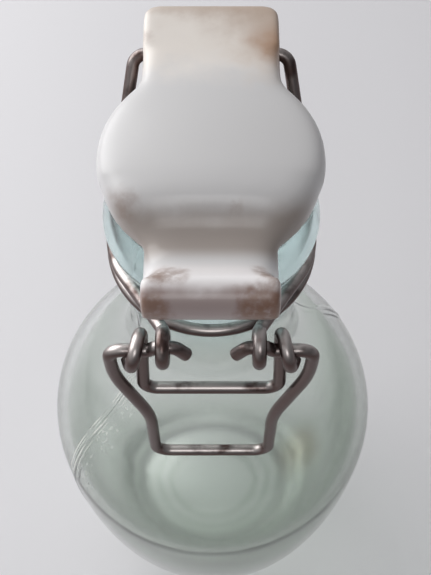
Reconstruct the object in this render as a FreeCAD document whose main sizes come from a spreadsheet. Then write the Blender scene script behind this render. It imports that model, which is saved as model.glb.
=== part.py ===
import FreeCAD, Part
import math
import os

import Sketcher

# A wide-mouth glass bottle with a hinged porcelain lid and a bent-wire closure.
# Millimetres. The origin is the middle of the base, +Z is up, and the closure's lever is at -Y.

Vector = FreeCAD.Vector
doc = FreeCAD.newDocument("swing_top_bottle")
sheet = doc.addObject("Spreadsheet::Sheet", "sizes")

# Driving sizes, each with the thing that it measures.
SIZES = [
    ("body_radius", 48.0, "outside of the body at its widest"),
    ("base_radius", 34.0, "outside of the body where it would meet the table"),
    ("heel_round", 4.0, "rounding between base and body"),
    ("shoulder_drop", 119.0, "rim down to the widest part of the body"),
    ("shoulder_round", 40.0, "outer rounding of the shoulder"),
    ("neck_drop", 52.0, "rim down to the start of the straight neck"),
    ("neck_radius", 20.5, "outside of the neck"),
    ("collar_height", 16.6, "collar's lower edge up to the rim"),
    ("collar_radius", 23.5, "widest part of the collar"),
    ("collar_flank", 5.2, "height of the collar's sloping underside"),
    ("collar_land", 3.0, "height of the collar's widest band"),
    ("rim_radius", 20.8, "outside of the mouth's rim"),
    ("rim_height", 205.0, "height of the rim that the seal lies on"),
    ("rim_round", 1.2, "rounding of the rim's outer edge"),
    ("collar_round", 2.5, "rounding of the collar's two corners"),
    ("glass_wall", 3.2, "wall of body, shoulder and neck"),
    ("floor_top", 8.0, "height of the inner floor"),
    ("floor_round", 12.0, "rounding between inner floor and wall"),
    ("base_ring_radius", 27.7, "edge of the hollow under the base"),
    ("base_step_radius", 18.8, "edge of the second step under the base"),
    ("base_step", 1.2, "rise of each step under the base"),
    ("base_step_slope", 1.0, "radial run of each step's flank"),
    ("seal_height", 2.5, "thickness of the rubber ring"),
    ("seal_radius", 20.4, "outside of the rubber ring"),
    ("seal_clearance", 0.3, "play between rubber ring and boss"),
    ("seal_round", 0.7, "rounding of the rubber ring's edges"),
    ("lid_radius", 23.4, "outside of the lid's disc"),
    ("lid_shift", 1.2, "how far the disc sits towards the hinge"),
    ("lid_thickness", 10.5, "height of the disc at its middle"),
    ("lid_edge", 5.4, "height of the disc's upright edge"),
    ("lid_edge_round", 3.6, "rounding of the disc's upper edge"),
    ("lid_under_slope", 1.4, "bevel under the disc's edge"),
    ("boss_radius", 15.0, "centring boss under the lid"),
    ("boss_depth", 6.0, "height of the centring boss"),
    ("boss_round", 1.5, "rounding of the boss's lower edge"),
    ("hinge_reach", 31.0, "bottle axis to hinge axis"),
    ("hinge_rise", 5.0, "rim to hinge axis"),
    ("ear_width", 29.4, "hinge ear across"),
    ("ear_end", 9.5, "hinge axis to the ear's rear face"),
    ("ear_wall", 4.6, "hinge axis to the ear's underside"),
    ("ear_top", 5.4, "hinge axis to the ear's upper face"),
    ("ear_round", 3.0, "rounding of the ear's rear corners"),
    ("lip_width", 26.2, "rolled lip across"),
    ("lip_reach", 29.5, "bottle axis to the middle of the lip's roll"),
    ("lip_round", 5.0, "radius of the lip's roll"),
    ("lip_drop", 6.0, "lid's top down to the middle of the roll"),
    ("valley_reach", 19.0, "bottle axis to the lowest line of the valley"),
    ("valley_depth", 7.4, "lid's top down to the valley's floor"),
    ("valley_round", 8.0, "radius of the valley"),
    ("wire_diameter", 2.8, "steel wire of all four wire pieces"),
    ("wire_gap", 0.3, "play where wire turns in wire or in the lid"),
    ("neck_gap", 0.4, "play between the neck and the wires round it"),
    ("ring_drop", 6.6, "collar's lower edge down to the tie ring"),
    ("side_drop", 3.6, "collar's lower edge down to the hinge wire's side runs"),
    ("ear_side_gap", 0.7, "ear's side to the hinge wire's leg"),
    ("leg_foot", 13.0, "how far behind the axis the hinge wire's leg ends"),
    ("leg_bend", 3.0, "bend at the top of the leg"),
    ("foot_bend", 6.0, "bend at the foot of the leg"),
    ("pivot_reach", 33.5, "bottle axis to the lever's pivot"),
    ("pivot_drop", 8.0, "rim down to the lever's pivot"),
    ("eye_offset", 9.6, "middle of the bottle to each eye of the hinge wire"),
    ("eye_lead", 5.0, "straight run of the wire before its eye"),
    ("eye_tip", 3.4, "open part of each wire eye"),
    ("lead_bend", 5.0, "bend where the side run meets the eye"),
    ("crank", 1.4, "offset between the lever's pivot and the bail's pivot"),
    ("crank_bend", 1.5, "bends of the crank"),
    ("crank_start", 11.0, "middle of the lever to the start of its crank"),
    ("tip_start", 7.2, "middle of the lever to the bend of its inner tips"),
    ("tip_run", 2.2, "sideways run of the lever's inner tips"),
    ("tip_drop", 3.4, "drop of the lever's inner tips"),
    ("lever_half", 20.6, "middle of the lever to its widest run"),
    ("lever_shoulder", 13.2, "pivot down to the end of the widest run"),
    ("lever_waist", 36.5, "pivot down to the start of the narrow run"),
    ("foot_half", 14.0, "middle of the lever to its narrow run"),
    ("lever_length", 60.4, "pivot down to the lever's bar"),
    ("lever_top_bend", 2.9, "bend at the top of the lever"),
    ("lever_side_bend", 40.0, "bends along the lever's sides"),
    ("lever_foot_bend", 4.0, "bends at the lever's bar"),
    ("bail_half", 14.9, "middle of the bail to each arm at its bar"),
    ("bail_length", 21.9, "bail's pivot down to its bar"),
    ("bail_lean", 2.2, "how far the bail's bar hangs forward of its arms' tops"),
    ("bail_bend", 3.2, "bends at the bail's bar"),
    ("hook_offset", 14.0, "middle of the bail to the start of its hook"),
    ("hook_pitch", 2.9, "sideways run of the hook"),
    ("hook_gap", 0.35, "extra play behind the lever in the bail's hook"),
]
for row, (alias, value, note) in enumerate(SIZES, start=1):
    sheet.set("A%d" % row, alias)
    sheet.set("B%d" % row, "%g" % value)
    sheet.set("C%d" % row, note)
    sheet.setAlias("B%d" % row, alias)
doc.recompute()


def size(alias):
    """The value of one driving size."""
    return float(sheet.get(alias))


def plane(body, role):
    """One of a body's own origin planes."""
    return next(feature for feature in body.Origin.OriginFeatures if feature.Role == role)


def new_body(label):
    body = doc.addObject("PartDesign::Body", label)
    body.Label = label
    return body


class Outline:
    """A sketch drawn end to end, whose corners and arcs are tied to the sheet."""

    def __init__(self, body, name, role):
        self.sketch = body.newObject("Sketcher::SketchObject", name)
        self.sketch.AttachmentSupport = (plane(body, role), [""])
        self.sketch.MapMode = "FlatFace"
        self.ends = []

    def line(self, start, end):
        """Adds a straight run and returns its number."""
        segment = Part.LineSegment(Vector(*start, 0), Vector(*end, 0))
        number = self.sketch.addGeometry(segment, False)
        self.ends.append((1, 2))
        return number

    def arc(self, start, end, centre):
        """Adds the shorter arc from start to end and returns its number."""
        first = math.atan2(start[1] - centre[1], start[0] - centre[0])
        last = math.atan2(end[1] - centre[1], end[0] - centre[0])
        turn = (last - first + math.pi) % (2 * math.pi) - math.pi
        radius = math.dist(start, centre)
        circle = Part.Circle(Vector(*centre, 0), Vector(0, 0, 1), radius)
        low, high = (first, first + turn) if turn > 0 else (first + turn, first)
        number = self.sketch.addGeometry(Part.ArcOfCircle(circle, low, high), False)
        self.ends.append((1, 2) if turn > 0 else (2, 1))
        return number

    def join(self, first, second, smooth=False):
        """Joins the end of one run to the start of another, with or without a corner."""
        kind = "Tangent" if smooth else "Coincident"
        ends = (first, self.ends[first][1], second, self.ends[second][0])
        self.sketch.addConstraint(Sketcher.Constraint(kind, *ends))

    def bind(self, kind, value, formula, *where):
        """Adds one measured constraint whose value follows the sheet."""
        number = self.sketch.addConstraint(Sketcher.Constraint(kind, *where, value))
        self.sketch.setExpression("Constraints[%d]" % number, formula)

    def at(self, number, across=None, up=None, end=False):
        """Ties the start or end of a run to a place given by formulas, or to an axis by 0."""
        place = self.ends[number][1 if end else 0]
        for kind, axis, formula in (("DistanceX", -2, across), ("DistanceY", -1, up)):
            if formula == 0:
                self.sketch.addConstraint(Sketcher.Constraint("PointOnObject", number, place, axis))
            elif formula is not None:
                self.bind(kind, evaluate(formula), formula, -1, 1, number, place)

    def radius(self, number, formula):
        self.bind("Radius", evaluate(formula), formula, number)


def evaluate(formula):
    """The present value of a formula over the sheet."""
    return float(sheet.evalExpression(formula.replace("sizes.", "")))


def polygon(outline, corners):
    """Draws a closed polygon whose corners are pairs of formulas."""
    places = [tuple(0.0 if part == 0 else evaluate(part) for part in corner) for corner in corners]
    for start, end in zip(places, places[1:] + places[:1]):
        outline.line(start, end)
    for number, corner in enumerate(corners):
        outline.at(number, across=corner[0], up=corner[1])
        outline.join(number, (number + 1) % len(corners))


def revolve(body, kind, name, outline):
    feature = body.newObject("PartDesign::" + kind, name)
    feature.Profile = outline.sketch
    feature.ReferenceAxis = (outline.sketch, ["V_Axis"])
    feature.Angle = 360
    return feature


def extrude(body, kind, name, outline, formula):
    """A pad or pocket, equally to both sides of its sketch."""
    feature = body.newObject("PartDesign::" + kind, name)
    feature.Profile = outline.sketch
    feature.SideType = "Symmetric"
    feature.setExpression("Length", formula)
    return feature


def round_edges(body, name, formula, wanted):
    """Rounds the edges that a test on the finished shape so far picks out."""
    doc.recompute()
    base = body.Tip
    chosen = ["Edge%d" % n for n, edge in enumerate(base.Shape.Edges, start=1) if wanted(edge)]
    fillet = body.newObject("PartDesign::Fillet", name)
    fillet.Base = (base, chosen)
    fillet.setExpression("Radius", formula)
    return fillet


def near(value, target, slack=0.01):
    return abs(value - target) < slack


def ring_edge(radius, height):
    """Tests for a circle about the bottle's axis."""
    def test(edge):
        box = edge.BoundBox
        return near(box.ZMin, height) and near(box.ZMax, height) and near(box.XMax, radius, 0.05)
    return test


def bent_wire(points, bends):
    """A round wire through the points, with a bend of its own radius at each inner point."""
    runs = []
    start = points[0]
    for before, corner, after, bend in zip(points, points[1:], points[2:], bends):
        incoming = (corner - before).normalize()
        outgoing = (after - corner).normalize()
        turn = incoming.getAngle(outgoing)
        setback = bend * math.tan(turn / 2)
        first = corner - incoming * setback
        last = corner + outgoing * setback
        towards = (outgoing - incoming).normalize()
        middle = corner + towards * (bend / math.cos(turn / 2) - bend)
        runs.append(Part.LineSegment(start, first).toShape())
        runs.append(Part.Arc(first, middle, last).toShape())
        start = last
    runs.append(Part.LineSegment(start, points[-1]).toShape())
    path = Part.Wire(runs)
    section = Part.Circle(points[0], points[1] - points[0], size("wire_diameter") / 2)
    return path.makePipeShell([Part.Wire(section.toShape())], True, False)


def mirrored_points(half):
    """A path that starts at the middle, carried over to the other side."""
    return [Vector(-point.x, point.y, point.z) for point in reversed(half)] + half


# The bottle is blown in a two-part mould: outer form first, then the hollow.
bottle = new_body("bottle")
outer = Outline(bottle, "outer_form", "XZ_Plane")
body_radius, neck_radius = size("body_radius"), size("neck_radius")
widest_level = "(sizes.rim_height - sizes.shoulder_drop)"
neck_level = "(sizes.rim_height - sizes.neck_drop)"
shoulder_start, neck_start = evaluate(widest_level), evaluate(neck_level)
sweep = 2 * math.atan((body_radius - neck_radius) / (neck_start - shoulder_start))
shoulder_round = size("shoulder_round")
neck_round = (neck_start - shoulder_start) / math.sin(sweep) - shoulder_round


def shoulder_places(wall):
    """Start, middle and end of the shoulder's S-curve, and its two centres, inside by a wall."""
    convex, concave = shoulder_round - wall, neck_round + wall
    low_centre = (body_radius - shoulder_round, shoulder_start)
    high_centre = (neck_radius + neck_round, neck_start)
    low = (body_radius - wall, shoulder_start)
    middle = (low_centre[0] + convex * math.cos(sweep), shoulder_start + convex * math.sin(sweep))
    high = (high_centre[0] - concave, neck_start)
    return low, middle, high, low_centre, high_centre


# The body's side is one long arc, upright at the widest part and leaning in towards the base.
taper = "(sizes.body_radius - sizes.base_radius)"
belly_formula = taper + " / 2 + " + widest_level + "^2 / (2 * " + taper + ")"
belly_round = evaluate(belly_formula)
belly_centre = (body_radius - belly_round, shoulder_start)


def belly_corner(wall, rounding, floor):
    """Centre and upper end of the rounding between the body's side, inside by a wall, and a floor."""
    reach = belly_round - wall - rounding
    rise = floor + rounding - shoulder_start
    run = math.sqrt(reach ** 2 - rise ** 2)
    stretch = (belly_round - wall) / reach
    upper = (belly_centre[0] + run * stretch, shoulder_start + rise * stretch)
    return (belly_centre[0] + run, floor + rounding), upper


step_top = "2 * sizes.base_step"
base_corners = [
    (0, step_top),
    ("sizes.base_step_radius - sizes.base_step_slope", step_top),
    ("sizes.base_step_radius", "sizes.base_step"),
    ("sizes.base_ring_radius - sizes.base_step_slope", "sizes.base_step"),
    ("sizes.base_ring_radius", 0),
]
places = [tuple(0.0 if part == 0 else evaluate(part) for part in corner) for corner in base_corners]
widest = (body_radius, shoulder_start)
heel_round = size("heel_round")
heel_centre, heel_top = belly_corner(0, heel_round, 0)
places.append((heel_centre[0], 0.0))
for number, (start, end) in enumerate(zip(places, places[1:])):
    outer.line(start, end)
    outer.at(number, *base_corners[number])
    if number:
        outer.join(number - 1, number)
low, middle, high, low_centre, high_centre = shoulder_places(0)
bearing = len(base_corners) - 1
outer.at(bearing, up=0, end=True)
heel = outer.arc(places[-1], heel_top, heel_centre)
belly = outer.arc(heel_top, widest, belly_centre)
convex = outer.arc(low, middle, low_centre)
concave = outer.arc(middle, high, high_centre)
collar_start = "sizes.rim_height - sizes.collar_height"
top_corners = [
    ("sizes.neck_radius", neck_level),
    ("sizes.neck_radius", collar_start),
    ("sizes.collar_radius", collar_start + " + sizes.collar_flank"),
    ("sizes.collar_radius", collar_start + " + sizes.collar_flank + sizes.collar_land"),
    ("sizes.rim_radius", "sizes.rim_height"),
    (0, "sizes.rim_height"),
]
top_places = [tuple(0.0 if part == 0 else evaluate(part) for part in corner) for corner in top_corners]
top_runs = [outer.line(start, end) for start, end in zip(top_places, top_places[1:])]
axis = outer.line(top_places[-1], places[0])
outer.join(bearing, heel, smooth=True)
outer.radius(heel, "sizes.heel_round")
outer.join(heel, belly, smooth=True)
outer.at(belly, "sizes.body_radius", widest_level, end=True)
outer.radius(belly, belly_formula)
outer.bind("DistanceY", shoulder_start, widest_level, -1, 1, belly, 3)
outer.join(belly, convex, smooth=True)
outer.radius(convex, "sizes.shoulder_round")
outer.join(convex, concave, smooth=True)
outer.join(concave, top_runs[0], smooth=True)
for run, corner in zip(top_runs, top_corners):
    outer.at(run, *corner)
for first, second in zip(top_runs, top_runs[1:] + [axis]):
    outer.join(first, second)
outer.at(axis, *top_corners[-1])
outer.join(axis, 0)
revolve(bottle, "Revolution", "blown_form", outer)

hollow = Outline(bottle, "hollow", "XZ_Plane")
glass_wall, floor_round = size("glass_wall"), size("floor_round")
floor_top, rim_height = size("floor_top"), size("rim_height")
low, middle, high, low_centre, high_centre = shoulder_places(glass_wall)
corner_centre, corner_top = belly_corner(glass_wall, floor_round, floor_top)
floor_edge = (corner_centre[0], floor_top)
floor = hollow.line((0, floor_top), floor_edge)
corner = hollow.arc(floor_edge, corner_top, corner_centre)
belly = hollow.arc(corner_top, low, belly_centre)
convex = hollow.arc(low, middle, low_centre)
concave = hollow.arc(middle, high, high_centre)
bore = hollow.line(high, (high[0], rim_height))
mouth = hollow.line((high[0], rim_height), (0, rim_height))
axis = hollow.line((0, rim_height), (0, floor_top))
inner_body = "sizes.body_radius - sizes.glass_wall"
inner_neck = "sizes.neck_radius - sizes.glass_wall"
hollow.at(floor, 0, "sizes.floor_top")
hollow.at(floor, up="sizes.floor_top", end=True)
hollow.join(floor, corner, smooth=True)
hollow.radius(corner, "sizes.floor_round")
hollow.join(corner, belly, smooth=True)
hollow.at(belly, inner_body, widest_level, end=True)
hollow.radius(belly, belly_formula + " - sizes.glass_wall")
hollow.bind("DistanceY", shoulder_start, widest_level, -1, 1, belly, 3)
hollow.join(belly, convex, smooth=True)
hollow.radius(convex, "sizes.shoulder_round - sizes.glass_wall")
hollow.join(convex, concave, smooth=True)
hollow.join(concave, bore, smooth=True)
hollow.at(bore, inner_neck, neck_level)
hollow.at(bore, inner_neck, "sizes.rim_height", end=True)
hollow.join(bore, mouth)
hollow.at(mouth, 0, "sizes.rim_height", end=True)
hollow.join(mouth, axis)
hollow.join(axis, floor)
revolve(bottle, "Groove", "blown_hollow", hollow)

collar_low = evaluate(collar_start) + size("collar_flank")
collar_high = collar_low + size("collar_land")
low_corner = ring_edge(size("collar_radius"), collar_low)
high_corner = ring_edge(size("collar_radius"), collar_high)
round_edges(bottle, "collar_rounding", "sizes.collar_round",
            lambda edge: low_corner(edge) or high_corner(edge))
round_edges(bottle, "rim_rounding", "sizes.rim_round", ring_edge(size("rim_radius"), rim_height))

# The rubber ring lies on the rim, round the lid's boss.
seal = new_body("seal_ring")
seal_outline = Outline(seal, "seal_section", "XZ_Plane")
seal_inner = "sizes.boss_radius + sizes.seal_clearance"
seal_top = "sizes.rim_height + sizes.seal_height"
polygon(seal_outline, [
    (seal_inner, "sizes.rim_height"),
    ("sizes.seal_radius", "sizes.rim_height"),
    ("sizes.seal_radius", seal_top),
    (seal_inner, seal_top),
])
revolve(seal, "Revolution", "seal_form", seal_outline)
seal_edges = [ring_edge(size("seal_radius"), evaluate(level)) for level in ("sizes.rim_height", seal_top)]
round_edges(seal, "seal_rounding", "sizes.seal_round",
            lambda edge: any(test(edge) for test in seal_edges))

# The porcelain lid: a domed disc with a hinge ear behind and a rolled lip in front.
lid = new_body("lid")
lid_under = "sizes.rim_height + sizes.seal_height"
lid_top = lid_under + " + sizes.lid_thickness"
disc = Outline(lid, "disc_section", "YZ_Plane")
under, top = evaluate(lid_under), evaluate(lid_top)
lid_radius, edge_round = size("lid_radius"), size("lid_edge_round")
slope = size("lid_under_slope")
edge_top = under + size("lid_edge")
round_centre = (lid_radius - edge_round, edge_top)
# The dome's centre is on the axis, where the dome meets both the top and the edge rounding smoothly.
crown = top - edge_top
dome_radius = (round_centre[0] ** 2 + crown ** 2 - edge_round ** 2) / (2 * (crown - edge_round))
dome_centre = (0.0, top - dome_radius)
reach = dome_radius / (dome_radius - edge_round)
dome_edge = (round_centre[0] * reach, dome_centre[1] + (round_centre[1] - dome_centre[1]) * reach)
bottom = disc.line((0, under), (lid_radius - slope, under))
bevel = disc.line((lid_radius - slope, under), (lid_radius, under + slope))
edge = disc.line((lid_radius, under + slope), (lid_radius, edge_top))
rounding = disc.arc((lid_radius, edge_top), dome_edge, round_centre)
dome = disc.arc(dome_edge, (0, top), dome_centre)
axis = disc.line((0, top), (0, under))
disc.at(bottom, 0, lid_under)
disc.at(bottom, "sizes.lid_radius - sizes.lid_under_slope", lid_under, end=True)
disc.join(bottom, bevel)
disc.at(edge, "sizes.lid_radius", lid_under + " + sizes.lid_under_slope")
disc.join(bevel, edge)
disc.at(edge, "sizes.lid_radius", lid_under + " + sizes.lid_edge", end=True)
disc.join(edge, rounding, smooth=True)
disc.radius(rounding, "sizes.lid_edge_round")
disc.join(rounding, dome, smooth=True)
disc.sketch.addConstraint(Sketcher.Constraint("PointOnObject", dome, 3, -2))
disc.join(dome, axis)
disc.at(axis, 0, lid_top)
disc.join(axis, bottom)
disc.sketch.setExpression("AttachmentOffset.Base.x", "sizes.lid_shift")
revolve(lid, "Revolution", "disc", disc)

ear = Outline(lid, "ear_side", "YZ_Plane")
hinge_height = "sizes.rim_height + sizes.hinge_rise"
ear_low = hinge_height + " - sizes.ear_wall"
ear_high = hinge_height + " + sizes.ear_top"
polygon(ear, [
    ("sizes.seal_radius - sizes.ear_wall", lid_under),
    ("sizes.seal_radius + sizes.lid_under_slope", lid_under),
    ("sizes.hinge_reach - sizes.ear_wall", ear_low),
    ("sizes.hinge_reach + sizes.ear_end", ear_low),
    ("sizes.hinge_reach + sizes.ear_end", ear_high),
    ("sizes.hinge_reach - sizes.ear_wall", ear_high),
    ("sizes.seal_radius - sizes.ear_wall", lid_under + " + sizes.lid_edge + sizes.lid_edge_round"),
])
extrude(lid, "Pad", "ear", ear, "sizes.ear_width")

lip = Outline(lid, "lip_side", "YZ_Plane")
lip_middle = lid_top + " - sizes.lip_drop"
lip_reach, lip_round = size("lip_reach"), size("lip_round")
lip_height = evaluate(lip_middle)
lip_back = -size("valley_reach") + lip_round
lip_top = lip_height + lip_round
roll_top = (-lip_reach, lip_top)
roll_front = (-lip_reach - lip_round, lip_height)
roll_low = (-lip_reach, lip_height - lip_round)
crest = lip.line((lip_back, lip_top), roll_top)
upper = lip.arc(roll_top, roll_front, (-lip_reach, lip_height))
lower = lip.arc(roll_front, roll_low, (-lip_reach, lip_height))
belly_back = -size("seal_radius") - slope
belly = lip.line(roll_low, (belly_back, under))
seat = lip.line((belly_back, under), (lip_back, under))
rear = lip.line((lip_back, under), (lip_back, lip_top))
back_place = "sizes.lip_round - sizes.valley_reach"
lip.at(crest, back_place, lip_middle + " + sizes.lip_round")
lip.at(crest, "-sizes.lip_reach", lip_middle + " + sizes.lip_round", end=True)
lip.join(crest, upper)
lip.radius(upper, "sizes.lip_round")
lip.join(upper, lower)
lip.at(lower, "-sizes.lip_reach - sizes.lip_round", lip_middle)
lip.radius(lower, "sizes.lip_round")
lip.join(lower, belly)
lip.at(belly, "-sizes.lip_reach", lip_middle + " - sizes.lip_round")
lip.at(belly, "-sizes.seal_radius - sizes.lid_under_slope", lid_under, end=True)
lip.join(belly, seat)
lip.at(seat, back_place, lid_under, end=True)
lip.join(seat, rear)
lip.join(rear, crest)
extrude(lid, "Pad", "lip", lip, "sizes.lip_width")

valley = Outline(lid, "valley_side", "YZ_Plane")
valley_height = lid_top + " - sizes.valley_depth + sizes.valley_round"
trough = Part.Circle(Vector(-size("valley_reach"), evaluate(valley_height), 0), Vector(0, 0, 1),
                     size("valley_round"))
valley.sketch.addGeometry(trough, False)
valley.bind("DistanceX", -size("valley_reach"), "-sizes.valley_reach", -1, 1, 0, 3)
valley.bind("DistanceY", evaluate(valley_height), valley_height, -1, 1, 0, 3)
valley.radius(0, "sizes.valley_round")
extrude(lid, "Pocket", "valley", valley, "2 * sizes.lid_radius")

bore = Outline(lid, "hinge_bore_side", "YZ_Plane")
bore_radius = "sizes.wire_diameter / 2 + sizes.wire_gap"
hinge = Vector(0, size("hinge_reach"), evaluate(hinge_height))
bore_circle = Part.Circle(Vector(hinge.y, hinge.z, 0), Vector(0, 0, 1), evaluate(bore_radius))
bore.sketch.addGeometry(bore_circle, False)
bore.bind("DistanceX", hinge.y, "sizes.hinge_reach", -1, 1, 0, 3)
bore.bind("DistanceY", hinge.z, hinge_height, -1, 1, 0, 3)
bore.radius(0, bore_radius)
extrude(lid, "Pocket", "hinge_bore", bore, "2 * sizes.ear_width")

boss = Outline(lid, "boss_section", "XZ_Plane")
polygon(boss, [
    (0, lid_under + " - sizes.boss_depth"),
    ("sizes.boss_radius", lid_under + " - sizes.boss_depth"),
    ("sizes.boss_radius", lid_under),
    (0, lid_under),
])
revolve(lid, "Revolution", "boss", boss)
boss_edge = ring_edge(size("boss_radius"), under - size("boss_depth"))
round_edges(lid, "boss_rounding", "sizes.boss_round", boss_edge)
ear_rear = size("hinge_reach") + size("ear_end")
half_ear = size("ear_width") / 2


def ear_corner(edge):
    """The two upright edges at the back of the ear."""
    box = edge.BoundBox
    return near(box.YMin, ear_rear) and near(box.YMax, ear_rear) and near(box.XMax - box.XMin, 0)


round_edges(lid, "ear_corners", "sizes.ear_round", ear_corner)

# All four wire pieces are the same round steel wire.
wire_radius = size("wire_diameter") / 2
eye_radius = 2 * wire_radius + size("wire_gap")
neck_wire_radius = neck_radius + size("neck_gap") + wire_radius

tie_ring = doc.addObject("Part::Torus", "tie_ring")
tie_ring.Label = "tie_ring"
tie_ring.setExpression("Radius1", "sizes.neck_radius + sizes.neck_gap + sizes.wire_diameter / 2")
tie_ring.setExpression("Radius2", "sizes.wire_diameter / 2")
tie_ring.setExpression("Placement.Base.z", collar_start + " - sizes.ring_drop")

# The hinge wire: through the ear, down each side, round the neck and forward to an open eye.
pivot = Vector(0, -size("pivot_reach"), rim_height - size("pivot_drop"))
side_height = evaluate(collar_start) - size("side_drop")
eye_offset = size("eye_offset")
lead = Vector(eye_offset, pivot.y + size("eye_lead"), pivot.z - eye_radius)
lead_distance = math.hypot(lead.x, lead.y)
lead_angle = math.atan2(lead.x, -lead.y)
leave_angle = lead_angle + math.acos(neck_wire_radius / lead_distance)
turn_angle = (leave_angle + math.pi / 2) / 2
turn_radius = neck_wire_radius / math.cos(math.pi / 2 - turn_angle)
leg_top = half_ear + size("ear_side_gap") + wire_radius
hinge_wire_half = [
    Vector(leg_top, hinge.y, hinge.z),
    Vector(neck_wire_radius, size("leg_foot"), side_height),
    Vector(turn_radius * math.sin(turn_angle), -turn_radius * math.cos(turn_angle), side_height),
    lead,
    Vector(eye_offset, pivot.y - eye_radius, pivot.z - eye_radius),
    Vector(eye_offset, pivot.y - eye_radius, pivot.z + eye_radius),
    Vector(eye_offset, pivot.y + eye_radius, pivot.z + eye_radius),
    Vector(eye_offset, pivot.y + eye_radius, pivot.z + eye_radius - size("eye_tip")),
]
eye_bend = eye_radius - wire_radius / 10
half_bends = [
    size("leg_bend"), size("foot_bend"), neck_wire_radius, size("lead_bend"),
    eye_bend, eye_bend, eye_bend,
]
hinge_wire = doc.addObject("Part::Feature", "hinge_wire")
hinge_wire.Label = "hinge_wire"
hinge_wire.Shape = bent_wire(mirrored_points(hinge_wire_half), half_bends[::-1] + half_bends)

# The lever: a wire handle with cranked ends that turn in the hinge wire's eyes.
# Its points are measured from its pivot.
lever_half = [
    Vector(size("foot_half"), 0, -size("lever_length")),
    Vector(size("foot_half"), 0, -size("lever_waist")),
    Vector(size("lever_half"), 0, -size("lever_shoulder")),
    Vector(size("lever_half"), 0, -size("crank")),
    Vector(size("crank_start") + size("crank"), 0, -size("crank")),
    Vector(size("crank_start"), 0, 0),
    Vector(size("tip_start"), 0, 0),
    Vector(size("tip_start") - size("tip_run"), 0, -size("tip_drop")),
]
side_bend, crank_bend = size("lever_side_bend"), size("crank_bend")
half_bends = [
    size("lever_foot_bend"), side_bend, side_bend, size("lever_top_bend"),
    crank_bend, crank_bend, 2 * wire_radius,
]
lever = doc.addObject("Part::Feature", "lever")
lever.Label = "lever"
lever.Shape = bent_wire(mirrored_points(lever_half), half_bends[::-1] + half_bends)
lever.Placement = FreeCAD.Placement(pivot, FreeCAD.Rotation())

# The latch bail: a U of wire whose ends hook over the lever beside the crank.
# Its points are measured from its own pivot on the lever.
hook, pitch = size("hook_offset"), size("hook_pitch")
hook_back = eye_radius + size("hook_gap")
bail_half = [
    Vector(size("bail_half"), hook_back - size("bail_lean"), -size("bail_length")),
    Vector(hook, hook_back, eye_radius),
    Vector(hook + pitch * 0.4, -eye_radius, eye_radius),
    Vector(hook + pitch * 0.75, -eye_radius, -eye_radius),
    Vector(hook + pitch, eye_radius - size("eye_tip"), -eye_radius),
]
half_bends = [size("bail_bend"), eye_bend, eye_bend, eye_bend]
latch_bail = doc.addObject("Part::Feature", "latch_bail")
latch_bail.Label = "latch_bail"
latch_bail.Shape = bent_wire(mirrored_points(bail_half), half_bends[::-1] + half_bends)
latch_bail.Placement = FreeCAD.Placement(pivot - Vector(0, 0, size("crank")), FreeCAD.Rotation())

doc.recompute()
for item in doc.Objects:
    if "Invalid" in item.State or "Error" in item.State:
        raise RuntimeError("%s did not build: %s" % (item.Label, item.State))
os.makedirs("parts", exist_ok=True)
for piece in (bottle, seal, lid, tie_ring, hinge_wire, lever, latch_bail):
    if piece.Shape.isNull() or not piece.Shape.isValid():
        raise RuntimeError("%s has no valid shape" % piece.Label)
    piece.Shape.exportStep("parts/%s.step" % piece.Label)
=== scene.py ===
import math

import bmesh
import bpy
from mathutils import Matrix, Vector


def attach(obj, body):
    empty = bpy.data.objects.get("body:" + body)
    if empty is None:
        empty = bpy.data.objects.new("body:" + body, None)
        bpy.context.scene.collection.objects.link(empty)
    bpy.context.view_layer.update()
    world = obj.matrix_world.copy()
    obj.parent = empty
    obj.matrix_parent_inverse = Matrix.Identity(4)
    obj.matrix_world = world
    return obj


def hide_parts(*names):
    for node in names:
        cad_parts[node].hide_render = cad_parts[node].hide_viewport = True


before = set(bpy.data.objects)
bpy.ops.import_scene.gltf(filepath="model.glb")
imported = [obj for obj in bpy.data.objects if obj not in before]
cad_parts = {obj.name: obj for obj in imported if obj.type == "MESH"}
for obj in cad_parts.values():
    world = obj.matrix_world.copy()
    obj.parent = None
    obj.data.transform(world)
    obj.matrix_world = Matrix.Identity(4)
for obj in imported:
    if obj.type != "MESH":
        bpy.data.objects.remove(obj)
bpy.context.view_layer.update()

# The bottle: thick, faintly green glass blown in a mould, with a stepped hollow under its base,
# sides that lean in towards the base, a rounded shoulder, a straight neck and a heavy collar.
# A raised seam runs down it on two sides, where the halves of the mould met.
MM = 0.001
BODY_RADIUS, BASE_RADIUS, NECK_RADIUS, GLASS_WALL = 48.0, 34.0, 20.5, 3.2
HEEL_ROUND, FLOOR_ROUND, FLOOR_TOP = 4.0, 12.0, 8.0
WIDEST, SHOULDER_ROUND, NECK_START = 86.0, 40.0, 153.0
COLLAR_START, COLLAR_LOW, COLLAR_HIGH, COLLAR_RADIUS = 188.4, 193.6, 196.6, 23.5
COLLAR_ROUND, COLLAR_BEND, COLLAR_SLOPE_IN, COLLAR_SLOPE_DOWN = 3.0, 25, 0.5, 0.9
RIM_RADIUS, RIM_HEIGHT, RIM_ROUND, RIM_BEND, MOUTH_ROUND = 20.8, 205.0, 1.2, 20, 0.8
RIM_FLARE, RIM_FLARE_DOWN = 0.35, 1.4
BASE_RING, BASE_DOT, BASE_STEP, STEP_SLOPE = 27.7, 18.8, 1.2, 1.0
SEAM_ANGLE, SEAM_HEIGHT, SEAM_BOTTOM = math.radians(-59), 0.25, 6.0
SIDES, LONG_ARC, CORNER_ARC, COLLAR_ARC, RIM_ARC, MOUTH_ARC = 360, 32, 16, 8, 6, 5
taper = BODY_RADIUS - BASE_RADIUS
belly_round = (taper ** 2 + WIDEST ** 2) / (2 * taper)
belly_centre = (BODY_RADIUS - belly_round, WIDEST)
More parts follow.
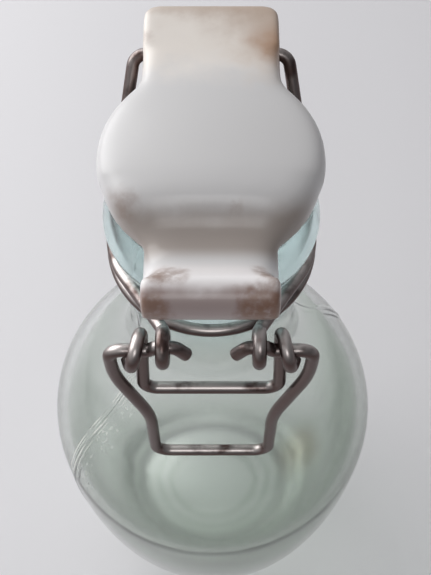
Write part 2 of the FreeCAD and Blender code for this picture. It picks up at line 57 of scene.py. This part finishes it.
sweep = 2 * math.degrees(math.atan((BODY_RADIUS - NECK_RADIUS) / (NECK_START - WIDEST)))
neck_round = (NECK_START - WIDEST) / math.sin(math.radians(sweep)) - SHOULDER_ROUND
low_centre = (BODY_RADIUS - SHOULDER_ROUND, WIDEST)
high_centre = (NECK_RADIUS + neck_round, NECK_START)


def arc(centre, radius, start, end, steps):
    """Points on an arc, in degrees anticlockwise from outward."""
    angles = [math.radians(start + (end - start) * n / steps) for n in range(steps + 1)]
    return [(centre[0] + radius * math.cos(a), centre[1] + radius * math.sin(a)) for a in angles]


def side(wall, floor, rounding):
    """The bottle's side from its floor to the top of the shoulder, inside by a wall."""
    reach = belly_round - wall - rounding
    lean = math.degrees(math.asin((floor + rounding - WIDEST) / reach))
    corner = (belly_centre[0] + reach * math.cos(math.radians(lean)), floor + rounding)
    points = arc(corner, rounding, -90, lean, CORNER_ARC)
    points += arc(belly_centre, belly_round - wall, lean, 0, LONG_ARC)[1:]
    points += arc(low_centre, SHOULDER_ROUND - wall, 0, sweep, LONG_ARC)[1:]
    return points + arc(high_centre, neck_round + wall, 180 + sweep, 180, LONG_ARC)[1:]


def add_piece(name, mesh, body):
    """A finished mesh as a piece that moves with one of the part's bodies."""
    piece = bpy.data.objects.new(name, mesh)
    bpy.context.collection.objects.link(piece)
    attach(piece, body)
    return piece


outside = [(0, 2 * BASE_STEP), (BASE_DOT - STEP_SLOPE, 2 * BASE_STEP), (BASE_DOT, BASE_STEP)]
outside += [(BASE_RING - STEP_SLOPE, BASE_STEP), (BASE_RING, 0)]
outside += side(0, 0, HEEL_ROUND)
outside += [(NECK_RADIUS, COLLAR_START), (COLLAR_RADIUS - COLLAR_SLOPE_IN, COLLAR_LOW - COLLAR_SLOPE_DOWN)]
collar_centre = (COLLAR_RADIUS - COLLAR_ROUND, (COLLAR_LOW + COLLAR_HIGH) / 2)
outside += arc(collar_centre, COLLAR_ROUND, -COLLAR_BEND, COLLAR_BEND, COLLAR_ARC)
outside += [(RIM_RADIUS + RIM_FLARE, RIM_HEIGHT - RIM_FLARE_DOWN)]
outside += arc((RIM_RADIUS - RIM_ROUND, RIM_HEIGHT - RIM_ROUND), RIM_ROUND, RIM_BEND, 90, RIM_ARC)
mouth_centre = (NECK_RADIUS - GLASS_WALL + MOUTH_ROUND, RIM_HEIGHT - MOUTH_ROUND)
inside = [(0, FLOOR_TOP)] + side(GLASS_WALL, FLOOR_TOP, FLOOR_ROUND)
inside += arc(mouth_centre, MOUTH_ROUND, 180, 90, MOUTH_ARC)
glass_mesh = bmesh.new()
section = [glass_mesh.verts.new((r * MM, 0, z * MM)) for r, z in outside + inside[::-1]]
edges = [glass_mesh.edges.new(pair) for pair in zip(section, section[1:])]
bmesh.ops.spin(glass_mesh, geom=section + edges, axis=(0, 0, 1), cent=(0, 0, 0), steps=SIDES,
               angle=2 * math.pi, use_merge=True)
bmesh.ops.remove_doubles(glass_mesh, verts=glass_mesh.verts, dist=0.01 * MM)
bmesh.ops.recalc_face_normals(glass_mesh, faces=glass_mesh.faces)
seam_way = Vector((math.sin(SEAM_ANGLE), -math.cos(SEAM_ANGLE), 0))
for vert in glass_mesh.verts:
    spoke = Vector((vert.co.x, vert.co.y, 0))
    on_seam = abs(spoke.normalized().dot(seam_way)) > math.cos(math.pi / SIDES)
    if on_seam and vert.normal.dot(spoke) > 0 and SEAM_BOTTOM * MM < vert.co.z < COLLAR_START * MM:
        vert.co += spoke.normalized() * SEAM_HEIGHT * MM
mesh = bpy.data.meshes.new("bottle_glass")
glass_mesh.to_mesh(mesh)
glass_mesh.free()
mesh.shade_smooth()
bottle = add_piece("bottle_glass", mesh, "vessel")
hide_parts("bottle")


class Shade:
    """A shader socket that can stand in sums like a number."""

    def __init__(self, tree, socket=None):
        self.tree = tree
        self.socket = socket

    def node(self, kind, sockets, output=0, **settings):
        """Any other node: its type, its settings, and the values or links of its sockets."""
        made = self.tree.nodes.new(kind)
        for name, value in settings.items():
            setattr(made, name, value)
        for name, value in sockets.items():
            if isinstance(value, Shade):
                self.tree.links.new(value.socket, made.inputs[name])
            else:
                made.inputs[name].default_value = value
        return Shade(self.tree, made.outputs[output])

    def maths(self, operation, *values):
        return self.node("ShaderNodeMath", dict(enumerate(values)), operation=operation)

    def __add__(self, other):
        return self.maths("ADD", self, other)

    def __radd__(self, other):
        return self.maths("ADD", other, self)

    def __sub__(self, other):
        return self.maths("SUBTRACT", self, other)

    def __rsub__(self, other):
        return self.maths("SUBTRACT", other, self)

    def __mul__(self, other):
        return self.maths("MULTIPLY", self, other)

    def __rmul__(self, other):
        return self.maths("MULTIPLY", other, self)

    def __truediv__(self, other):
        return self.maths("DIVIDE", self, other)

    def __rtruediv__(self, other):
        return self.maths("DIVIDE", other, self)

    def __abs__(self):
        return self.maths("ABSOLUTE", self)

    def sine(self):
        return self.maths("SINE", self)

    def vector(self, operation, other=(0, 0, 0), output=0):
        return self.node("ShaderNodeVectorMath", {0: self, 1: other}, output, operation=operation)

    def ramp(self, low, high):
        """0 at low and 1 at high, with a soft change between; low may be the larger."""
        return self.node("ShaderNodeMapRange", {"Value": self, "From Min": low, "From Max": high},
                         interpolation_type="SMOOTHSTEP")

    def axis(self, name):
        return self.node("ShaderNodeSeparateXYZ", {0: self}, name)

    def noise(self, scale, detail=4.0, stretch=(1, 1, 1)):
        """Cloudy values about 0.5 at so many cycles in a metre."""
        place = self.vector("MULTIPLY", stretch)
        return self.node("ShaderNodeTexNoise", {"Vector": place, "Scale": scale, "Detail": detail})

    def away(self, point):
        """Distance from a point, both in millimetres."""
        return self.vector("DISTANCE", Vector(point) * MM, "Value") / MM

    def blend(self, under, over):
        """Mixes two colours, this value being how much of the second one shows."""
        under, over = [c if isinstance(c, Shade) else (*c, 1) for c in (under, over)]
        # Of the Mix node's sockets, 6 and 7 are its two colours, and output 2 is the mixed one.
        return self.node("ShaderNodeMix", {0: self, 6: under, 7: over}, 2, data_type="RGBA")

    def feed(self, target):
        self.tree.links.new(self.socket, target)


def surface(name, constants):
    """A new material, its shader with these constants, and the place on the piece as a Shade."""
    material = bpy.data.materials.new(name)
    material.use_nodes = True
    shader = material.node_tree.nodes["Principled BSDF"]
    for socket, value in constants.items():
        shader.inputs[socket].default_value = value
    place = Shade(material.node_tree).node("ShaderNodeTexCoord", {}, "Object")
    return material, shader, place


def dress(piece, material):
    """Gives a piece its material, in place of any it had."""
    piece.data.materials.clear()
    piece.data.materials.append(material)


# The glass looks greener where more of it is seen edge on: low down, at the widest part and at the
# heel. At the widest part the darker green is also painted shade, strongest on the front right, away
# from the window, and low down the tint is lighter as painted light for what passes through the base
# onto the table. Each pair below runs from where a colour starts to where it is full, in millimetres.
BODY_GREY, THICK_GREEN, COLLAR_TEAL = (0.92, 0.935, 0.93), (0.72, 0.765, 0.72), (0.76, 0.93, 0.925)
BASE_GREEN_AND_LIGHT, WIDEST_GREEN_AND_SHADE, HEEL_GREEN = (0.945, 0.98, 0.95), (0.42, 0.50, 0.42), (0.66, 0.715, 0.66)
BASE_DOWN, THICK_DOWN, THICK_UP, WIDEST_UP, COLLAR_UP = (50, 20), (145, 75), (10, 50), (35, 84), (160, 186)
RIGHTWARD, SHADED_SIDE, SHADED_SHARE, EVEN_SHARE = 0.7, (-40, 50), 0.65, 0.2
HEEL_OUT, HEEL_DOWN = (22, 33), (44, 18)
# The base has faint rings, with so many radians of their wave to a millimetre of radius.
RING_ANGLE, RING_CREST, RING_DOWN, RING_OUT, RING_SHARE = 1.25, (-0.2, 0.8), (18, 10), (11, 17), 0.65
STAIN_BROWN, WATER_STAIN, STAIN_SPREAD, STAIN_SHARE = (0.76, 0.68, 0.55), (24, -26, 115), (13, 4), 0.6
STAIN_CLOUDS, STAIN_RAGGED = 120, 6
DULL_DOWN, DULL, CLEAR = (34, 8), 0.16, 0.1
WAVES, WAVE_STRENGTH, WAVE_HEIGHT = 45, 0.2, 0.5
glass, shader, place = surface("green_glass", {"Transmission Weight": 1.0, "IOR": 1.5})
height = place.axis("Z") / MM
radius = place.vector("MULTIPLY", (1, 1, 0)).vector("LENGTH", output="Value") / MM
front_right = (place.axis("X") * RIGHTWARD - place.axis("Y")) / MM
thick = height.ramp(*THICK_DOWN)
thick = thick * thick
# The widest band is thick glass seen edge on plus painted shade, weighted towards the front right.
widest_and_shade = thick * height.ramp(*WIDEST_UP) * (front_right.ramp(*SHADED_SIDE) * SHADED_SHARE + EVEN_SHARE)
crest = (radius * RING_ANGLE).sine().ramp(*RING_CREST)
rings = crest * height.ramp(*RING_DOWN) * radius.ramp(*RING_OUT)
stain = (place.away(WATER_STAIN) + place.noise(STAIN_CLOUDS) * STAIN_RAGGED).ramp(*STAIN_SPREAD)
# Low down the tint is lighter than the body's: painted light for what passes through the base to the
# table.
tint = height.ramp(*BASE_DOWN).blend(BODY_GREY, BASE_GREEN_AND_LIGHT)
tint = (thick * height.ramp(*THICK_UP)).blend(tint, THICK_GREEN)
tint = widest_and_shade.blend(tint, WIDEST_GREEN_AND_SHADE)
tint = height.ramp(*COLLAR_UP).blend(tint, COLLAR_TEAL)
tint = (radius.ramp(*HEEL_OUT) * height.ramp(*HEEL_DOWN)).blend(tint, HEEL_GREEN)
tint = (rings * RING_SHARE).blend(tint, HEEL_GREEN)
tint = (stain * STAIN_SHARE).blend(tint, STAIN_BROWN)
tint.feed(shader.inputs["Base Color"])
(height.ramp(*DULL_DOWN) * DULL + CLEAR).feed(shader.inputs["Roughness"])
wavy = {"Height": place.noise(WAVES, detail=1.0), "Strength": WAVE_STRENGTH, "Distance": WAVE_HEIGHT * MM}
place.node("ShaderNodeBump", wavy).feed(shader.inputs["Normal"])

# Scuffed lines along the seam and scratches beside it, on the upper half. The glass throws only a
# thin shadow, because much of the light passes through it to the table.
SEAM_TWIN, SEAM_LINE, SEAM_CORE = 1.9, 0.3, 0.1
LINE_PATCHES, LINE_KEPT = 90, (0.3, 0.6)
SCRATCH_ASIDE, SCRATCH_REACH, SCRATCHED, SCRATCH_SHARE = 3, (5, 1), (0.58, 0.68), 0.6
SCRATCHES, SCRATCH_STRETCH = 900, (1, 1, 0.2)
SCUFF_UP, SCUFF_OUT, SCUFF_SHARE = (84, 96), (20, 30), 0.75
FROST_WHITE, SHADOW_GREY = (0.82, 0.82, 0.78, 1), (0.79, 0.80, 0.793, 1)
seam_tangent = Vector((-seam_way.y, seam_way.x, 0))
beside = place.vector("DOT_PRODUCT", seam_tangent, "Value") / MM
outward = place.vector("DOT_PRODUCT", seam_way, "Value") / MM
lines = abs(beside).ramp(SEAM_LINE, SEAM_CORE) + abs(beside + SEAM_TWIN).ramp(SEAM_LINE, SEAM_CORE)
scratches = place.noise(SCRATCHES, stretch=SCRATCH_STRETCH).ramp(*SCRATCHED)
scratches = scratches * abs(beside - SCRATCH_ASIDE).ramp(*SCRATCH_REACH)
scuffed = lines * place.noise(LINE_PATCHES).ramp(*LINE_KEPT) + scratches * SCRATCH_SHARE
scuffed = scuffed * outward.ramp(*SCUFF_OUT) * height.ramp(*SCUFF_UP) * SCUFF_SHARE
frosted = place.node("ShaderNodeBsdfDiffuse", {"Color": FROST_WHITE})
thin_shadow = place.node("ShaderNodeBsdfTransparent", {"Color": SHADOW_GREY})
in_shadow = place.node("ShaderNodeLightPath", {}, "Is Shadow Ray")
whole_glass = Shade(glass.node_tree, shader.outputs["BSDF"])
worn_glass = place.node("ShaderNodeMixShader", {0: scuffed, 1: whole_glass, 2: frosted})
lit_glass = place.node("ShaderNodeMixShader", {0: in_shadow, 1: worn_glass, 2: thin_shadow})
lit_glass.feed(glass.node_tree.nodes["Material Output"].inputs["Surface"])
dress(bottle, glass)

# The lid: porcelain under a white glaze, cream on its hinge ear, with softly rounded edges on top.
# Brown stains lie on its lip and by its valley, and rust where the wire passes through it. Painted
# shade darkens the valley and the lip's front face, and a painted highlight lightens the lip's top.
VOXEL, MERGE, UNDERSIDE, SMOOTHING, SMOOTHINGS = 0.45, 0.001, 208.2, 0.5, 600
# How much each stretch from lip to ear is rounded, up to its end in millimetres; the underside isn't.
ROUNDED = ((-28, 0.12), (-5, 1.0), (10, 0.3), (29, 0.3), (99, 0.05))


def baked(piece, name):
    """The mesh of a piece with its modifiers applied, in place of the piece."""
    made = bpy.data.meshes.new_from_object(piece.evaluated_get(bpy.context.evaluated_depsgraph_get()))
    made.name = name
    bpy.data.objects.remove(piece)
    return made


raw = bpy.data.objects.new("lid_raw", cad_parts["lid"].data.copy())
bpy.context.collection.objects.link(raw)
lid_mesh = bmesh.new()
lid_mesh.from_mesh(raw.data)
bmesh.ops.remove_doubles(lid_mesh, verts=lid_mesh.verts, dist=MERGE * MM)
lid_mesh.to_mesh(raw.data)
lid_mesh.free()
remesh = raw.modifiers.new("remesh", "REMESH")
remesh.mode = "VOXEL"
remesh.voxel_size = VOXEL * MM
fired = bpy.data.objects.new("lid_fired", baked(raw, "lid_fired"))
bpy.context.collection.objects.link(fired)
rounded = fired.vertex_groups.new(name="rounded")
for vert in fired.data.vertices:
    if vert.co.z > UNDERSIDE * MM:
        share = next(share for end, share in ROUNDED if vert.co.y < end * MM)
        rounded.add([vert.index], share, "REPLACE")
soften = fired.modifiers.new("soften", "SMOOTH")
soften.vertex_group = rounded.name
soften.factor = SMOOTHING
soften.iterations = SMOOTHINGS
mesh = baked(fired, "lid_porcelain")
mesh.shade_smooth()
lid = add_piece("lid_porcelain", mesh, "lid")
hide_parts("lid")

# The glaze's colours, with a painted highlight for the lip's top and painted shade for the lip's
# front face and the valley, and where along, across and up the lid each starts and is full.
WHITE, LIP_HIGHLIGHT_WHITE, CREAM = (0.70, 0.69, 0.69), (0.95, 0.92, 0.92), (0.88, 0.82, 0.76)
TAN, SHADED_FACE_PINK, VALLEY_SHADE = (0.50, 0.38, 0.30), (0.36, 0.27, 0.255), (0.36, 0.31, 0.28)
BROWN, ORANGE, RUST = (0.23, 0.12, 0.075), (0.45, 0.27, 0.17), (0.16, 0.07, 0.04)
EAR_CREAM, EAR_TAN, EAR_EDGE, LIP_START = (20, 34), (34, 64), (38.5, 42.5), (-22, -26)
LIP_FACE_DOWN, LIP_FACE_OUT = (220, 217.5), (-29, -32)
VALLEY_DOWN, VALLEY_FRONT, VALLEY_BACK = (218.8, 213.5), (-6, -13), (-23, -18.5)
RUST_RUN, RUN_SPREAD = (14, 29, 216), (12.5, 5)
HINGE_STAIN, HINGE_SPREAD = (14.7, 31, 210), (7.5, 3.5)
# Each stain: its middle on the lid and how far it spreads, in millimetres, and how strong it is.
STAINS = (((-10.5, -25, 216), 5, 0.7), ((-7, -26.5, 216.5), 4, 0.5), ((11.5, -27, 216), 5, 0.7),
          ((11, -32, 215), 6, 0.85), ((9, -34, 211.5), 5, 0.9), ((-10.5, -33.5, 213), 4.5, 0.8),
          ((4.7, -13, 216.5), 3, 0.6), ((-17, -11, 215.5), 5, 0.35), ((-14.5, 31, 216), 4, 0.4))
CLOUDS, SPECKS, SPECK_RANGE, STAIN_CORE = 160, 700, (0.1, 0.6), 0.2
EAR_RAGGED, TAN_RAGGED, EDGE_RAGGED, UP_RAGGED, RUN_RAGGED, BORE_RAGGED = 10, 22, 5, 3, 9, 5
TAN_RIGHTWARD, TAN_SHARE, EDGE_SHARE, SHADED_FACE_SHARE, VALLEY_SHADE_SHARE = 0.9, 0.9, 0.5, 0.9, 0.95
glaze = {"Roughness": 0.36, "Coat Weight": 0.3, "Coat Roughness": 0.16}
porcelain, shader, place = surface("stained_and_shaded_porcelain", glaze)
across, along, up = [place.axis(name) / MM for name in "XYZ"]
cloud, fine = place.noise(CLOUDS), place.noise(SPECKS)
colour = (along + cloud * EAR_RAGGED).ramp(*EAR_CREAM).blend(WHITE, CREAM)
# The lip is made whiter on top: a painted highlight.
colour = along.ramp(*LIP_START).blend(colour, LIP_HIGHLIGHT_WHITE)
tanned = along + across * TAN_RIGHTWARD + cloud * TAN_RAGGED
colour = (tanned.ramp(*EAR_TAN) * TAN_SHARE).blend(colour, TAN)
colour = ((along + cloud * EDGE_RAGGED).ramp(*EAR_EDGE) * EDGE_SHARE).blend(colour, TAN)
cloudy_up = up + cloud * UP_RAGGED
# The lip's front face is darkened in a pinkish brown: painted shade.
colour = (cloudy_up.ramp(*LIP_FACE_DOWN) * along.ramp(*LIP_FACE_OUT) * SHADED_FACE_SHARE).blend(colour, SHADED_FACE_PINK)
# The valley between the dome and the lip is darkened: painted shade in the hollow.
valley_shade = cloudy_up.ramp(*VALLEY_DOWN) * along.ramp(*VALLEY_FRONT) * along.ramp(*VALLEY_BACK)
colour = (valley_shade * VALLEY_SHADE_SHARE).blend(colour, VALLEY_SHADE)
for middle, spread, strength in STAINS:
    ragged = place.away(middle) + cloud * (2 * spread) - spread
    patch = ragged.ramp(spread, STAIN_CORE * spread) * strength
    colour = (patch * fine.ramp(*SPECK_RANGE)).blend(colour, BROWN)
colour = (place.away(RUST_RUN) + cloud * RUN_RAGGED).ramp(*RUN_SPREAD).blend(colour, ORANGE)
for end in (-1, 1):
    bore_end = (end * HINGE_STAIN[0], *HINGE_STAIN[1:])
    colour = (place.away(bore_end) + cloud * BORE_RAGGED).ramp(*HINGE_SPREAD).blend(colour, RUST)
colour.feed(shader.inputs["Base Color"])
dress(lid, porcelain)

# The seal: a flat rubber ring pushed over the boss under the lid, which the closure presses on
# the bottle's rim. It has gone hard and grey-beige.
RUBBER_BEIGE = (0.42, 0.38, 0.34, 1)
rubber, shader, place = surface("old_rubber", {"Base Color": RUBBER_BEIGE, "Roughness": 0.7})
dress(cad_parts["seal_ring"], rubber)

# The wires: the ring round the neck, the hinge wire through the lid, the lever and the bail, all
# bent from steel wire and hooked into each other. They are tarnished dark brown, and lighter in
# patches on top: partly bare worn steel, partly a painted highlight where the tops catch the light.
TARNISH, BARE_STEEL_AND_HIGHLIGHT = (0.115, 0.077, 0.07), (0.62, 0.57, 0.55)
WORN_AND_LIT_TOP, WORN_CLOUDS, WORN_PATCH = (0.35, 0.95), 180, (0.3, 0.55)
steel, shader, place = surface("tarnished_and_highlit_steel", {"Metallic": 0.85, "Roughness": 0.34})
facing = place.node("ShaderNodeTexCoord", {}, "Normal")
# Upward-facing patches get the light steel colour: wear together with a painted highlight on top.
worn_and_highlit = facing.axis("Z").ramp(*WORN_AND_LIT_TOP) * place.noise(WORN_CLOUDS).ramp(*WORN_PATCH)
worn_and_highlit.blend(TARNISH, BARE_STEEL_AND_HIGHLIGHT).feed(shader.inputs["Base Color"])
for name in ("tie_ring", "hinge_wire", "lever", "latch_bail"):
    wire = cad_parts[name]
    wire.data.shade_smooth()
    dress(wire, steel)

# The table: a pale, dull top that the bottle stands on, lit by a soft window at the upper left
# and a weaker lamp above the front, in a grey room.
TABLE_WHITE, TABLE_SIZE = (0.84, 0.83, 0.85, 1), 6
DARK_WALL, LIGHT_WALL, BACKWARD = (0.11, 0.11, 0.115), (0.54, 0.54, 0.55), 0.8
bpy.ops.mesh.primitive_plane_add(size=TABLE_SIZE)
table = bpy.context.object
table_top, shader, place = surface("pale_table", {"Base Color": TABLE_WHITE, "Roughness": 0.8})
table.data.materials.append(table_top)


def lamp(name, power, size, place, aim):
    """A square lamp of a size in metres and a power in watts, facing the aim."""
    light = bpy.data.lights.new(name, "AREA")
    light.energy = power
    light.size = size
    holder = bpy.data.objects.new(name, light)
    bpy.context.collection.objects.link(holder)
    holder.location = place
    holder.rotation_euler = (Vector(aim) - Vector(place)).to_track_quat("-Z", "Y").to_euler()


lamp("window", power=4.1, size=0.7, place=(-0.5, 0.33, 0.48), aim=(0, 0, 0.1))
lamp("ceiling", power=1.2, size=0.36, place=(0, -0.58, 0.91), aim=(0, -0.03, 0.21))
room = bpy.data.worlds.new("room")
bpy.context.scene.world = room
room.use_nodes = True
sky = Shade(room.node_tree).node("ShaderNodeTexCoord", {}, "Generated")
far = (sky.axis("Y") * BACKWARD - sky.axis("X")).ramp(-1.0, 1.0)
far.blend(DARK_WALL, LIGHT_WALL).feed(room.node_tree.nodes["Background"].inputs["Color"])

# The camera: close above the front of the bottle, looking steeply down at the closure. Its lens
# follows from the focal length in pixels and the picture's height.
FOCAL_PIXELS, PHOTO_HEIGHT, SENSOR = 1000, 575, 36.0
CAMERA_PLACE, CAMERA_TILT, CAMERA_NEAR = (0.9, -118.5, 377), 28.7, 10
view = bpy.data.cameras.new("photo")
view.sensor_width = SENSOR
view.lens = SENSOR * FOCAL_PIXELS / PHOTO_HEIGHT
view.clip_start = CAMERA_NEAR * MM
camera = bpy.data.objects.new("photo", view)
bpy.context.collection.objects.link(camera)
camera.location = Vector(CAMERA_PLACE) * MM
camera.rotation_euler = (math.radians(CAMERA_TILT), 0, 0)
bpy.context.scene.camera = camera
bpy.context.scene.view_settings.view_transform = "Standard"
bpy.context.scene.cycles.transmission_bounces = 16
bpy.context.scene.cycles.max_bounces = 20
